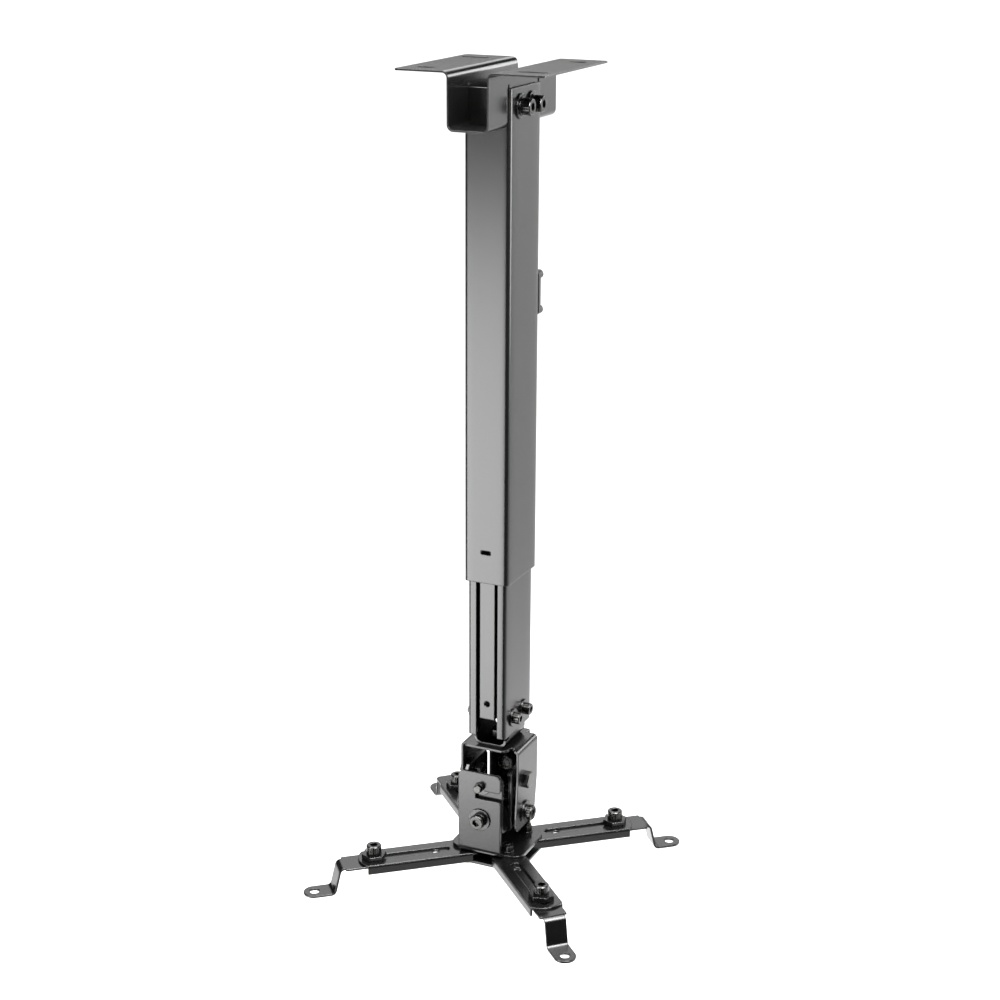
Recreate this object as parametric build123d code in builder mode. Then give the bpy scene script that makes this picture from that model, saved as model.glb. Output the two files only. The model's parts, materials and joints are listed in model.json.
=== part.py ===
from build123d import *
from math import cos, radians, sin, tan
import os

# Telescopic ceiling mount for a projector, folded from sheet steel.
# Millimetres. The origin is the centre of the ceiling holes, on top of the bracket's flanges,
# and everything hangs below it. X runs across the bracket's channel and Y along it.

# Driving dimensions: ceiling bracket, a hat channel
bracket_length = 132.0
bracket_depth = 45.7
bracket_sheet = 1.5
bracket_bend = 4.0
flange_width = 45.5
ceiling_hole_x = 45.0
ceiling_hole_y = 45.0
ceiling_slot_width = 9.0
ceiling_slot_long = 24.0
ceiling_slot_short = 14.0

# Driving dimensions: outer tube
tube_width = 40.0
tube_depth = 60.0
tube_wall = 2.0
tube_corner = 3.2
tube_top = -15.0
tube_length = 408.7
bracket_in_tube_gap = 0.3
cross_slot_clearance = 0.5
cross_slot_above = 3.1

# Driving dimensions: inner tube, an open C section, and the strip in its slot
inner_gap = 0.5
inner_wall = 2.0
inner_corner = 2.6
inner_slot = 19.6
inner_top = -112.0
inner_length = 453.0
strip_width = 13.8
strip_sheet = 1.5
strip_recess = 1.0
strip_end_above_tube_end = 16.0
strip_wing_height = 20.0
strip_wing_overlap = 4.0
strip_hole = 5.2
strip_hole_up = 14.0
strip_return = 6.0

# Driving dimensions: pressed guide bridge low on the outer tube's front
bridge_length = 9.6
bridge_height = 2.0
bridge_slit = 0.9
bridge_press = 1.2
bridge_up = 27.0

# Driving dimensions: tube foot, a U bracket inside the inner tube
foot_gap = 0.1
foot_sheet = 2.5
foot_half_depth = 20.0
foot_wall_height = 42.0
foot_below_tube = 12.0
foot_bend = 5.0
foot_wall_back = 6.0
foot_bolt_up = 15.0

# Driving dimensions: upper yoke
yoke_sheet = 2.0
yoke_half_width = 27.3
yoke_height = 76.0
yoke_wall_front = 20.8
yoke_wall_front_low = 24.0
yoke_wall_front_straight = 29.0
yoke_wall_front_slope = 34.0
yoke_wall_back = 20.6
yoke_wall_back_low = 15.0
yoke_wall_back_straight = 40.0
yoke_plate_front = 24.8
yoke_plate_back = 30.5
yoke_back_half_width = 16.0
yoke_back_lip = 12.0
yoke_bend = 2.0
yoke_corner = 4.0
yoke_plate_corner = 3.0
yoke_notch_length = 12.0
yoke_notch_width = 6.0
yoke_front_left = -22.6
yoke_front_right = 12.6

# Driving dimensions: where the middle of the head lies along Y
head_y = -3.0

# Driving dimensions: tilt block, an open box between the two yokes
block_sheet = 3.0
block_half_width = 22.5
block_half_depth = 29.7
block_side_half = 21.0
block_front_left = -19.5
block_front_right = 17.5
block_top = -598.5
block_bottom = -653.0
block_bend = 2.0
block_corner = 4.0

# Driving dimensions: where the block's pivots and locks stand
tilt_y = -5.5
roll_x = -2.0
pivot_z = -609.0
lock_drop = 31.0
lock_swing = 8.0
lock_slot_width = 8.6

# Driving dimensions: lower yoke, a base with a folded plate in front and behind
lower_sheet = 3.0
lower_half_depth = 33.7
lower_left = -22.3
lower_right = 17.5
lower_top = -596.4
lower_bend = 4.0
lower_corner = 5.0
base_half_width = 34.0
base_half_depth = 28.5
base_corner = 10.0
base_underside = -675.3
hook_height = 8.4
hook_entry_z = -616.3
hook_pin_play = 0.09
hook_mouth = 2.6

# Driving dimensions: plate under the arms
under_half_width = 34.0
under_half_depth = 30.5
under_sheet = 2.5
under_corner = 5.0

# Driving dimensions: four arms and four sliding feet
pivot_x = 18.5
pivot_y = 20.5
arm_width = 29.0
arm_sheet = 1.8
arm_height = 8.3
arm_length = 93.6
arm_nose = 5.5
arm_bend = 0.5
arm_slot_start = 17.5
arm_slot_end = 93.0
arm_slot_width = 8.8
foot_side_play = 0.6
foot_strip_sheet = 2.0
foot_inner_length = 68.0
foot_tab_width = 19.0
foot_shoulder = 27.2
foot_fold = 32.0
foot_slant = 5.5
foot_drop = 23.2
foot_hole_reach = 53.2
foot_hole = 8.2
foot_bend_radius = 3.5
foot_eye = 6.0
foot_eye_inset = 12.5
leg_names = ["front_right", "back_right", "front_left", "back_left"]
leg_sides = [(1, -1), (1, 1), (-1, -1), (-1, 1)]
leg_angles = [-45.3, 40.0, 219.8, 134.3]
leg_reaches = [81.2, 83.6, 85.4, 85.2]

# Driving dimensions: fasteners
m8 = 8.0
m8_head = 13.0
m8_socket = 6.0
m8_across_flats = 13.0
m8_nut_height = 6.5
m8_hex_head_height = 5.3
m8_low_head_height = 5.0
m6 = 6.0
m6_head = 10.0
m6_socket = 5.0
m6_across_flats = 10.0
m6_nut_height = 5.0
m6_hex_head_height = 3.9
thread_end = 2.0
bolt_play = 0.5
pivot_play = 0.16
thread_gap = 0.05
washer_outer = 20.0
washer_sheet = 1.6
lock_ring_outer = 15.0
lock_ring_sheet = 1.0
spring_ring_outer = 13.0
spring_ring_sheet = 1.5
small_washer_outer = 16.0
side_spacer_outer = 18.0
bolt_half_pitch = 11.0
top_bolt_z = -30.0
roll_pin = 7.8
roll_pin_stand = 6.4
roll_pin_round = 1.4
roll_pin_across_flats = 6.7
collar_across_flats = 19.0
collar_height = 4.8
foot_nut_height = 4.0
foot_screw_pitch_out = 0.6

# Driving dimensions: column lock on the hidden left wall and clip on the back
lock_screw_y = 8.0
lock_screw_up = [38.7, 18.7]
clip_x = 16.0
clip_width = 8.0
clip_sheet = 3.5
clip_top = -169.0
clip_length = 35.5
clip_head = 7.5
clip_head_height = 6.0
clip_hole = 4.2
clip_stem_gap = 0.1

# Worked out from the driving dimensions
tube_inner_half = tube_width / 2 - tube_wall
bracket_half = tube_inner_half - bracket_in_tube_gap
tube_bottom = tube_top - tube_length
lock_screw_z = [tube_bottom + up for up in lock_screw_up]
inner_width = tube_width - 2 * (tube_wall + inner_gap)
inner_depth = tube_depth - 2 * (tube_wall + inner_gap)
inner_bottom = inner_top - inner_length
yoke_top = inner_bottom - foot_below_tube
yoke_bottom = yoke_top - yoke_height
foot_outer_half = inner_width / 2 - inner_wall - foot_gap
foot_bolt_z = inner_bottom + foot_bolt_up
lock_z = pivot_z - lock_drop
base_top = base_underside + lower_sheet
arm_underside = base_underside - arm_height
strip_top_z = base_underside - arm_sheet

os.makedirs("parts", exist_ok=True)


# Shared shapes
def sheet_section(plane, points, radii, thickness, side):
    """Section of a folded sheet: one face of the sheet as a line, thickened to one side."""
    with BuildSketch(plane) as section:
        with BuildLine():
            FilletPolyline(*points, radius=radii)
            offset(amount=thickness, side=side)
        make_face()
    return section.sketch


def cap_screw(size, head, head_height, socket, length):
    """Socket head screw along +Z: the head stands on z = 0 and the shank goes down."""
    with BuildPart() as screw:
        with BuildSketch():
            Circle(head / 2)
        extrude(amount=head_height)
        chamfer(screw.faces().sort_by(Axis.Z)[-1].edges(), length=head / 20)
        with BuildSketch(Plane.XY.offset(head_height)):
            RegularPolygon(socket / 2, 6, major_radius=False)
        extrude(amount=-head_height * 0.6, mode=Mode.SUBTRACT)
        with BuildSketch():
            Circle(size / 2)
        extrude(amount=-length)
    return screw.part


def hex_screw(size, across_flats, head_height, length):
    """Hex head screw along +Z: the head stands on z = 0 and the shank goes down."""
    with BuildPart() as screw:
        with BuildSketch():
            RegularPolygon(across_flats / 2, 6, major_radius=False, rotation=30)
        extrude(amount=head_height)
        chamfer(screw.faces().sort_by(Axis.Z)[-1].edges(), length=across_flats / 20)
        with BuildSketch():
            Circle(size / 2)
        extrude(amount=-length)
    return screw.part


def hex_nut(bore, across_flats, height):
    """Hex nut along +Z, standing on z = 0."""
    with BuildPart() as nut:
        with BuildSketch():
            RegularPolygon(across_flats / 2, 6, major_radius=False)
            Circle(bore / 2, mode=Mode.SUBTRACT)
        extrude(amount=height)
    return nut.part


def washer(bore, outer, height):
    """Plain washer along +Z, standing on z = 0."""
    with BuildPart() as ring:
        with BuildSketch():
            Circle(outer / 2)
            Circle(bore / 2, mode=Mode.SUBTRACT)
        extrude(amount=height)
    return ring.part


def group(shape, places):
    """Copies of one fastener, one at each place."""
    with BuildPart() as copies:
        for place in places:
            with Locations(place):
                add(shape)
    return copies.part


def facing(x, y, z, direction):
    """Location whose Z axis points along the given direction."""
    return Plane(origin=(x, y, z), z_dir=direction).location


def finish(part, label):
    """Label a finished piece and write it."""
    part.label = label
    export_step(part, "parts/" + label + ".step")


# Ceiling bracket: flange, wall, bottom, wall, flange, with two cross slots for the tube
bracket_inner = bracket_half - bracket_sheet
bracket_points = [
    (-bracket_half - flange_width, 0),
    (-bracket_inner, 0),
    (-bracket_inner, bracket_sheet - bracket_depth),
    (bracket_inner, bracket_sheet - bracket_depth),
    (bracket_inner, 0),
    (bracket_half + flange_width, 0),
]
outer_bend = bracket_bend + bracket_sheet
bracket_radii = (outer_bend, bracket_bend, bracket_bend, outer_bend)
bracket_profile = sheet_section(Plane.XZ, bracket_points, bracket_radii, bracket_sheet, Side.RIGHT)
cross_slot_y = (tube_depth - tube_wall) / 2
cross_slot_top = tube_top + cross_slot_above
with BuildPart() as ceiling_bracket:
    extrude(bracket_profile, amount=bracket_length / 2, both=True)
    corners = ceiling_bracket.edges().filter_by(Axis.Z).filter_by(lambda e: abs(e.length - bracket_sheet) < 0.01)
    fillet(corners, radius=bracket_bend)
    with BuildSketch(Plane.XY):
        with Locations((ceiling_hole_x, -ceiling_hole_y), (-ceiling_hole_x, ceiling_hole_y)):
            SlotOverall(ceiling_slot_long, ceiling_slot_width)
        with Locations((ceiling_hole_x, ceiling_hole_y), (-ceiling_hole_x, -ceiling_hole_y)):
            SlotOverall(ceiling_slot_short, ceiling_slot_width)
    extrude(amount=bracket_sheet, both=True, mode=Mode.SUBTRACT)
    slot_height = bracket_depth + cross_slot_top
    with BuildSketch(Plane.YZ):
        with Locations((-cross_slot_y, cross_slot_top), (cross_slot_y, cross_slot_top)):
            Rectangle(
                tube_wall + 2 * cross_slot_clearance,
                slot_height + bracket_sheet,
                align=(Align.CENTER, Align.MAX),
            )
    extrude(amount=bracket_half + bracket_sheet, both=True, mode=Mode.SUBTRACT)
    with BuildSketch(Plane.YZ):
        with Locations((-bolt_half_pitch, top_bolt_z), (bolt_half_pitch, top_bolt_z)):
            Circle((m8 + bolt_play) / 2)
    extrude(amount=tube_width, both=True, mode=Mode.SUBTRACT)
finish(ceiling_bracket.part, "ceiling_bracket")

# Outer tube: rectangular hollow section that straddles the bracket, with a pressed guide bridge
bridge_z = tube_bottom + bridge_up
bridge_open = bridge_height + 2 * bridge_slit
clip_hole_z = [clip_top - clip_width / 2 + 1.0, clip_top - clip_length + clip_width / 2 - 1.0]
with BuildPart() as outer_tube:
    with BuildSketch(Plane.XY.offset(tube_bottom)):
        RectangleRounded(tube_width, tube_depth, tube_corner)
        RectangleRounded(
            tube_width - 2 * tube_wall,
            tube_depth - 2 * tube_wall,
            tube_corner - tube_wall,
            mode=Mode.SUBTRACT,
        )
    extrude(amount=tube_length)
    with BuildSketch(Plane.YZ):
        with Locations((-bolt_half_pitch, top_bolt_z), (bolt_half_pitch, top_bolt_z)):
            Circle((m8 + bolt_play) / 2)
    extrude(amount=tube_width, both=True, mode=Mode.SUBTRACT)
    with BuildSketch(Plane.YZ.offset(-tube_width / 2 - tube_wall)):
        with Locations(*[(lock_screw_y, z) for z in lock_screw_z]):
            Circle((m6 + bolt_play) / 2)
    extrude(amount=3 * tube_wall, mode=Mode.SUBTRACT)
    with BuildSketch(Plane.XZ.offset(-tube_depth / 2 + 1.5 * tube_wall)):
        with Locations(*[(clip_x, z) for z in clip_hole_z]):
            Circle(clip_hole / 2)
    extrude(amount=-3 * tube_wall, mode=Mode.SUBTRACT)
    with BuildSketch(Plane.XZ.offset(tube_depth / 2 - 2 * tube_wall)):
        with Locations((0, bridge_z)):
            SlotOverall(bridge_length, bridge_open)
    extrude(amount=3 * tube_wall, mode=Mode.SUBTRACT)
    face_y = -tube_depth / 2
    half = bridge_length / 2
    with BuildSketch(Plane.XY.offset(bridge_z - bridge_height / 2)):
        with BuildLine():
            ThreePointArc((-half, face_y), (0, face_y + bridge_press), (half, face_y))
            Line((half, face_y), (half, face_y + tube_wall))
            ThreePointArc(
                (half, face_y + tube_wall),
                (0, face_y + tube_wall + bridge_press),
                (-half, face_y + tube_wall),
            )
            Line((-half, face_y + tube_wall), (-half, face_y))
        make_face()
    extrude(amount=bridge_height)
finish(outer_tube.part, "outer_tube")

# Bolts that hold the tube on the bracket, with nuts on the far side
tube_side = tube_width / 2
top_stack = washer_sheet + lock_ring_sheet
top_shank = top_stack + tube_width + washer_sheet + m8_nut_height + thread_end
top_places = [facing(tube_side + top_stack, y, top_bolt_z, (1, 0, 0)) for y in (-bolt_half_pitch, bolt_half_pitch)]
top_screw = cap_screw(m8, m8_head, m8, m8_socket, top_shank)
finish(group(top_screw, top_places), "top_bolts")
top_washer = washer(m8 + bolt_play, washer_outer, washer_sheet)
washer_places = [facing(tube_side, y, top_bolt_z, (1, 0, 0)) for y in (-bolt_half_pitch, bolt_half_pitch)]
washer_places += [facing(-tube_side, y, top_bolt_z, (-1, 0, 0)) for y in (-bolt_half_pitch, bolt_half_pitch)]
finish(group(top_washer, washer_places), "top_washers")
top_ring = washer(m8 + bolt_play, lock_ring_outer, lock_ring_sheet)
ring_places = [
    facing(tube_side + washer_sheet, y, top_bolt_z, (1, 0, 0)) for y in (-bolt_half_pitch, bolt_half_pitch)
]
finish(group(top_ring, ring_places), "top_lock_rings")
top_nut = hex_nut(m8 + thread_gap, m8_across_flats, m8_nut_height)
nut_places = [
    facing(-tube_side - washer_sheet, y, top_bolt_z, (-1, 0, 0)) for y in (-bolt_half_pitch, bolt_half_pitch)
]
finish(group(top_nut, nut_places), "top_nuts")

# Column lock: two welded nuts on the hidden left wall and two screws that clamp the inner tube
inner_side = inner_width / 2
lock_length = tube_side + m6_nut_height - inner_side
lock_nut = hex_nut(m6 + thread_gap, m6_across_flats, m6_nut_height)
lock_nut_places = [facing(-tube_side, lock_screw_y, z, (-1, 0, 0)) for z in lock_screw_z]
finish(group(lock_nut, lock_nut_places), "column_lock_nuts")
lock_shank = lock_length + thread_end
lock_screw = cap_screw(m6, m6_head, m6, m6_socket, lock_shank)
lock_screw_places = [facing(-inner_side - lock_shank, lock_screw_y, z, (-1, 0, 0)) for z in lock_screw_z]
finish(group(lock_screw, lock_screw_places), "column_lock_screws")

# Cable clip: a strap on the tube's back with two headed studs through the wall
tube_back = tube_depth / 2
with BuildPart() as cable_clip:
    with BuildSketch(Plane.XZ.offset(-tube_back)):
        with Locations((clip_x, clip_top - clip_length / 2)):
            RectangleRounded(clip_width, clip_length, clip_width / 3)
    extrude(amount=-clip_sheet)
    with BuildSketch(Plane.XZ.offset(-tube_back - clip_sheet)):
        with Locations(*[(clip_x, z) for z in clip_hole_z]):
            Circle(clip_head / 2)
    extrude(amount=-clip_head_height)
    with BuildSketch(Plane.XZ.offset(-tube_back)):
        with Locations(*[(clip_x, z) for z in clip_hole_z]):
            Circle(clip_hole / 2 - clip_stem_gap)
    extrude(amount=tube_wall)
finish(cable_clip.part, "cable_clip")

# Inner tube: C section with its slot to the front
with BuildPart() as inner_tube:
    with BuildSketch(Plane.XY.offset(inner_bottom)):
        RectangleRounded(inner_width, inner_depth, inner_corner)
        RectangleRounded(
            inner_width - 2 * inner_wall,
            inner_depth - 2 * inner_wall,
            inner_corner - inner_wall,
            mode=Mode.SUBTRACT,
        )
        with Locations((0, -inner_depth / 2)):
            Rectangle(inner_slot, 3 * inner_wall, mode=Mode.SUBTRACT)
    extrude(amount=inner_length)
    with BuildSketch(Plane.YZ):
        with Locations((-bolt_half_pitch, foot_bolt_z), (bolt_half_pitch, foot_bolt_z)):
            Circle((m6 + bolt_play) / 2)
    extrude(amount=tube_width, both=True, mode=Mode.SUBTRACT)
finish(inner_tube.part, "inner_tube")

# Slot strip: a narrow channel between the lips, held behind them by two pairs of wings
lip_face = -inner_depth / 2
lip_back = lip_face + inner_wall
strip_face = lip_face + strip_recess
strip_bottom = inner_bottom + strip_end_above_tube_end
wing_half = inner_slot / 2 + strip_wing_overlap
wing_z = [inner_top - strip_wing_height, (inner_top + inner_bottom) / 2]
with BuildPart() as slot_strip:
    with BuildSketch(Plane.XY.offset(strip_bottom)):
        with Locations((0, strip_face)):
            Rectangle(strip_width, strip_return, align=(Align.CENTER, Align.MIN))
        with Locations((0, strip_face + strip_sheet)):
            Rectangle(
                strip_width - 2 * strip_sheet,
                strip_return,
                align=(Align.CENTER, Align.MIN),
                mode=Mode.SUBTRACT,
            )
    extrude(amount=inner_top - strip_bottom)
    for z in wing_z:
        with BuildSketch(Plane.XY.offset(z - strip_wing_height / 2)):
            for side in (-1, 1):
                with Locations((side * (strip_width / 2 - strip_sheet), lip_back)):
                    wing = wing_half - strip_width / 2 + strip_sheet
                    align_x = Align.MIN if side > 0 else Align.MAX
                    Rectangle(wing, strip_sheet, align=(align_x, Align.MIN))
        extrude(amount=strip_wing_height)
    with BuildSketch(Plane.XZ.offset(-strip_face + strip_sheet)):
        with Locations((0, strip_bottom + strip_hole_up)):
            Circle(strip_hole / 2)
    extrude(amount=-3 * strip_sheet, mode=Mode.SUBTRACT)
finish(slot_strip.part, "slot_strip")

# Tube foot: U bracket bolted inside the inner tube, its bottom resting on the yoke
foot_inner = foot_outer_half - foot_sheet
foot_points = [
    (-foot_outer_half, yoke_top + foot_wall_height),
    (-foot_outer_half, yoke_top),
    (foot_outer_half, yoke_top),
    (foot_outer_half, yoke_top + foot_wall_height),
]
foot_profile = sheet_section(Plane.XZ, foot_points, foot_bend + foot_sheet, foot_sheet, Side.LEFT)
with BuildPart() as tube_foot:
    extrude(foot_profile, amount=foot_half_depth, both=True)
    with BuildSketch(Plane.XY.offset(yoke_top + foot_sheet + foot_bend)):
        with Locations((0, -foot_half_depth)):
            Rectangle(tube_width, foot_wall_back, align=(Align.CENTER, Align.MIN))
    extrude(amount=foot_wall_height, mode=Mode.SUBTRACT)
    with BuildSketch(Plane.YZ):
        with Locations((-bolt_half_pitch, foot_bolt_z), (bolt_half_pitch, foot_bolt_z)):
            Circle((m6 + bolt_play) / 2)
    extrude(amount=tube_width, both=True, mode=Mode.SUBTRACT)
    with BuildSketch(Plane.XY.offset(yoke_top)):
        Circle((m8 + bolt_play) / 2)
    extrude(amount=foot_sheet, mode=Mode.SUBTRACT)
finish(tube_foot.part, "tube_foot")

# Bolts that hold the foot in the inner tube
foot_stack = washer_sheet
foot_shank = foot_stack + inner_width + m6_nut_height + thread_end
foot_ys = (-bolt_half_pitch, bolt_half_pitch)
foot_screw_shape = cap_screw(m6, m6_head, m6, m6_socket, foot_shank)
foot_places = [facing(inner_side + foot_stack, y, foot_bolt_z, (1, 0, 0)) for y in foot_ys]
finish(group(foot_screw_shape, foot_places), "tube_foot_bolts")
foot_washer_shape = washer(m6 + bolt_play, small_washer_outer, washer_sheet)
foot_washer_places = [facing(inner_side, y, foot_bolt_z, (1, 0, 0)) for y in foot_ys]
finish(group(foot_washer_shape, foot_washer_places), "tube_foot_washers")
foot_nut_shape = hex_nut(m6 + thread_gap, m6_across_flats, m6_nut_height)
foot_nut_places = [facing(-inner_side, y, foot_bolt_z, (-1, 0, 0)) for y in foot_ys]
finish(group(foot_nut_shape, foot_nut_places), "tube_foot_nuts")

# Swivel bolt: hex head under the yoke's plate, nut on the foot's plate
yoke_plate_under = yoke_top - yoke_sheet
swivel_length = yoke_sheet + foot_sheet + m8_nut_height + thread_end
swivel_screw = hex_screw(m8, m8_across_flats, m8_hex_head_height, swivel_length)
finish(group(swivel_screw, [facing(0, 0, yoke_plate_under, (0, 0, -1))]), "swivel_bolt")
swivel_nut_shape = hex_nut(m8 + thread_gap, m8_across_flats, m8_nut_height)
finish(group(swivel_nut_shape, [facing(0, 0, yoke_top + foot_sheet, (0, 0, 1))]), "swivel_nut")

# Upper yoke: top plate with two long side walls and a short lip behind
yoke_points = [
    (-yoke_half_width, yoke_bottom),
    (-yoke_half_width, yoke_top),
    (yoke_half_width, yoke_top),
    (yoke_half_width, yoke_bottom),
]
yoke_profile = sheet_section(Plane.XZ, yoke_points, yoke_bend + yoke_sheet, yoke_sheet, Side.RIGHT)
lip_points = [
    (-yoke_plate_front, yoke_top),
    (yoke_plate_back, yoke_top),
    (yoke_plate_back, yoke_top - yoke_back_lip),
]
lip_profile = sheet_section(Plane.YZ, lip_points, yoke_bend + yoke_sheet, yoke_sheet, Side.RIGHT)
wall_outline = [
    (-yoke_wall_front, yoke_top),
    (yoke_wall_back, yoke_top),
    (yoke_wall_back, yoke_top - yoke_wall_back_straight),
    (yoke_wall_back_low, yoke_bottom),
    (-yoke_wall_front_low, yoke_bottom),
    (-yoke_wall_front_low, yoke_top - yoke_wall_front_straight - yoke_wall_front_slope),
    (-yoke_wall_front, yoke_top - yoke_wall_front_straight),
]
tilt_lock_arc = CenterArc((tilt_y, pivot_z), lock_drop, -90 - lock_swing, 2 * lock_swing)
with BuildPart() as upper_yoke:
    extrude(yoke_profile, amount=yoke_plate_back, both=True)
    with BuildSketch(Plane.YZ) as wall_shape:
        with BuildLine():
            Polyline(*wall_outline, close=True)
        make_face()
        low_corners = wall_shape.vertices().group_by(Axis.Y)[0]
        fillet(low_corners, radius=yoke_corner)
    extrude(amount=yoke_half_width, both=True, mode=Mode.INTERSECT)
    extrude(lip_profile, amount=yoke_back_half_width, both=True)
    front_middle = (yoke_front_left + yoke_front_right) / 2
    front_width = yoke_front_right - yoke_front_left
    with BuildSketch(Plane.XY.offset(yoke_plate_under)):
        with Locations((front_middle, -yoke_wall_front)):
            Rectangle(front_width, 2 * (yoke_plate_front - yoke_wall_front))
        with Locations((0, -yoke_wall_front)):
            Rectangle(2 * yoke_back_half_width, 2 * (yoke_plate_front - yoke_wall_front), mode=Mode.SUBTRACT)
    extrude(amount=yoke_sheet)
    front_corners = upper_yoke.edges().filter_by(Axis.Z).group_by(Axis.Y)[0]
    fillet(front_corners, radius=yoke_plate_corner)
    wall_inside = yoke_half_width - yoke_sheet - yoke_bend
    with BuildSketch(Plane.XY.offset(yoke_plate_under - yoke_sheet)):
        with Locations((wall_inside - yoke_notch_width / 2, -yoke_wall_front)):
            SlotOverall(yoke_notch_length, yoke_notch_width, rotation=90)
    extrude(amount=3 * yoke_sheet, mode=Mode.SUBTRACT)
    with BuildSketch(Plane.XY.offset(yoke_plate_under)):
        Circle((m8 + pivot_play) / 2)
    extrude(amount=yoke_sheet, mode=Mode.SUBTRACT)
    with BuildSketch(Plane.YZ):
        with Locations((tilt_y, pivot_z)):
            Circle((m8 + pivot_play) / 2)
        SlotArc(tilt_lock_arc, lock_slot_width)
    extrude(amount=yoke_half_width + yoke_sheet, both=True, mode=Mode.SUBTRACT)
finish(upper_yoke.part, "upper_yoke")

# Tilt block: bottom with four upstanding flanges, open at the top and at its corners
side_points = [
    (-block_half_width, block_top),
    (-block_half_width, block_bottom),
    (block_half_width, block_bottom),
    (block_half_width, block_top),
]
side_profile = sheet_section(Plane.XZ.offset(-head_y), side_points, block_bend + block_sheet, block_sheet, Side.LEFT)
end_points = [
    (head_y - block_half_depth, block_top),
    (head_y - block_half_depth, block_bottom),
    (head_y + block_half_depth, block_bottom),
    (head_y + block_half_depth, block_top),
]
end_profile = sheet_section(Plane.YZ, end_points, block_bend + block_sheet, block_sheet, Side.LEFT)
block_front_width = block_front_right - block_front_left
with BuildPart() as tilt_block:
    extrude(side_profile, amount=block_side_half, both=True)
    side_corners = tilt_block.edges().filter_by(Axis.X).filter_by_position(Axis.Z, block_top, block_top)
    chamfer(side_corners, length=block_corner)
    with BuildPart(mode=Mode.PRIVATE) as block_ends:
        extrude(end_profile, amount=block_half_width, both=True)
        with BuildSketch(Plane.XY.offset(block_bottom)):
            with Locations((block_front_left, head_y)):
                Rectangle(block_front_width, 4 * block_half_depth, align=(Align.MIN, Align.CENTER))
        extrude(amount=block_top - block_bottom, mode=Mode.INTERSECT)
        end_corners = block_ends.edges().filter_by(Axis.Y).filter_by_position(Axis.Z, block_top, block_top)
        chamfer(end_corners, length=block_corner)
    add(block_ends.part)
    with BuildSketch(Plane.YZ):
        with Locations((tilt_y, pivot_z), (tilt_y, lock_z)):
            Circle((m8 + thread_gap) / 2)
    extrude(amount=2 * block_half_width, both=True, mode=Mode.SUBTRACT)
    with BuildSketch(Plane.XZ):
        with Locations((roll_x, pivot_z), (roll_x, lock_z)):
            Circle((m8 + thread_gap) / 2)
    extrude(amount=2 * block_half_depth, both=True, mode=Mode.SUBTRACT)
finish(tilt_block.part, "tilt_block")

# Welded nuts inside the tilt block, one behind each hole
block_nut = hex_nut(m8 + thread_gap, m8_across_flats, m8_nut_height)
block_inner_x = block_half_width - block_sheet
block_inner_y = block_half_depth - block_sheet
block_nut_places = []
for z in (pivot_z, lock_z):
    block_nut_places.append(facing(block_inner_x, tilt_y, z, (-1, 0, 0)))
    block_nut_places.append(facing(-block_inner_x, tilt_y, z, (1, 0, 0)))
    block_nut_places.append(facing(roll_x, head_y + block_inner_y, z, (0, -1, 0)))
    block_nut_places.append(facing(roll_x, head_y - block_inner_y, z, (0, 1, 0)))
finish(group(block_nut, block_nut_places), "tilt_block_nuts")

# Spacers between the yoke's walls and the block's sides, and between the block and the lower yoke
side_gap = yoke_half_width - yoke_sheet - block_half_width
end_gap = lower_half_depth - lower_sheet - block_half_depth
side_spacer = washer(m8 + bolt_play, side_spacer_outer, side_gap)
end_spacer = washer(m8 + bolt_play, side_spacer_outer, end_gap)
side_spacer_places = []
end_spacer_places = []
for z in (pivot_z, lock_z):
    side_spacer_places.append(facing(block_half_width, tilt_y, z, (1, 0, 0)))
    side_spacer_places.append(facing(-block_half_width, tilt_y, z, (-1, 0, 0)))
    end_spacer_places.append(facing(roll_x, head_y + block_half_depth, z, (0, 1, 0)))
    end_spacer_places.append(facing(roll_x, head_y - block_half_depth, z, (0, -1, 0)))
finish(group(side_spacer, side_spacer_places), "tilt_spacers")
finish(group(end_spacer, end_spacer_places), "roll_spacers")

# Tilt pivot: hex screws through the yoke's walls into the block
yoke_to_nut = yoke_half_width - block_inner_x + m8_nut_height
tilt_pin = hex_screw(m8, m8_across_flats, m8_hex_head_height, yoke_to_nut)
tilt_pin_places = [facing(side * yoke_half_width, tilt_y, pivot_z, (side, 0, 0)) for side in (-1, 1)]
finish(group(tilt_pin, tilt_pin_places), "tilt_pins")

# Tilt lock: low socket screws, spring rings and large washers over the yoke's arc slots
lock_stack = washer_sheet + spring_ring_sheet
tilt_lock = cap_screw(m8, m8_head, m8_low_head_height, m8_socket, lock_stack + yoke_to_nut)
tilt_lock_x = yoke_half_width + lock_stack
tilt_lock_places = [facing(side * tilt_lock_x, tilt_y, lock_z, (side, 0, 0)) for side in (-1, 1)]
finish(group(tilt_lock, tilt_lock_places), "tilt_lock_screws")
spring_ring = washer(m8 + bolt_play, spring_ring_outer, spring_ring_sheet)
tilt_ring_x = yoke_half_width + washer_sheet
tilt_ring_places = [facing(side * tilt_ring_x, tilt_y, lock_z, (side, 0, 0)) for side in (-1, 1)]
finish(group(spring_ring, tilt_ring_places), "tilt_lock_rings")
lock_washer = washer(m8 + bolt_play, washer_outer, washer_sheet)
tilt_washer_places = [facing(side * yoke_half_width, tilt_y, lock_z, (side, 0, 0)) for side in (-1, 1)]
finish(group(lock_washer, tilt_washer_places), "tilt_lock_washers")

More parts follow.
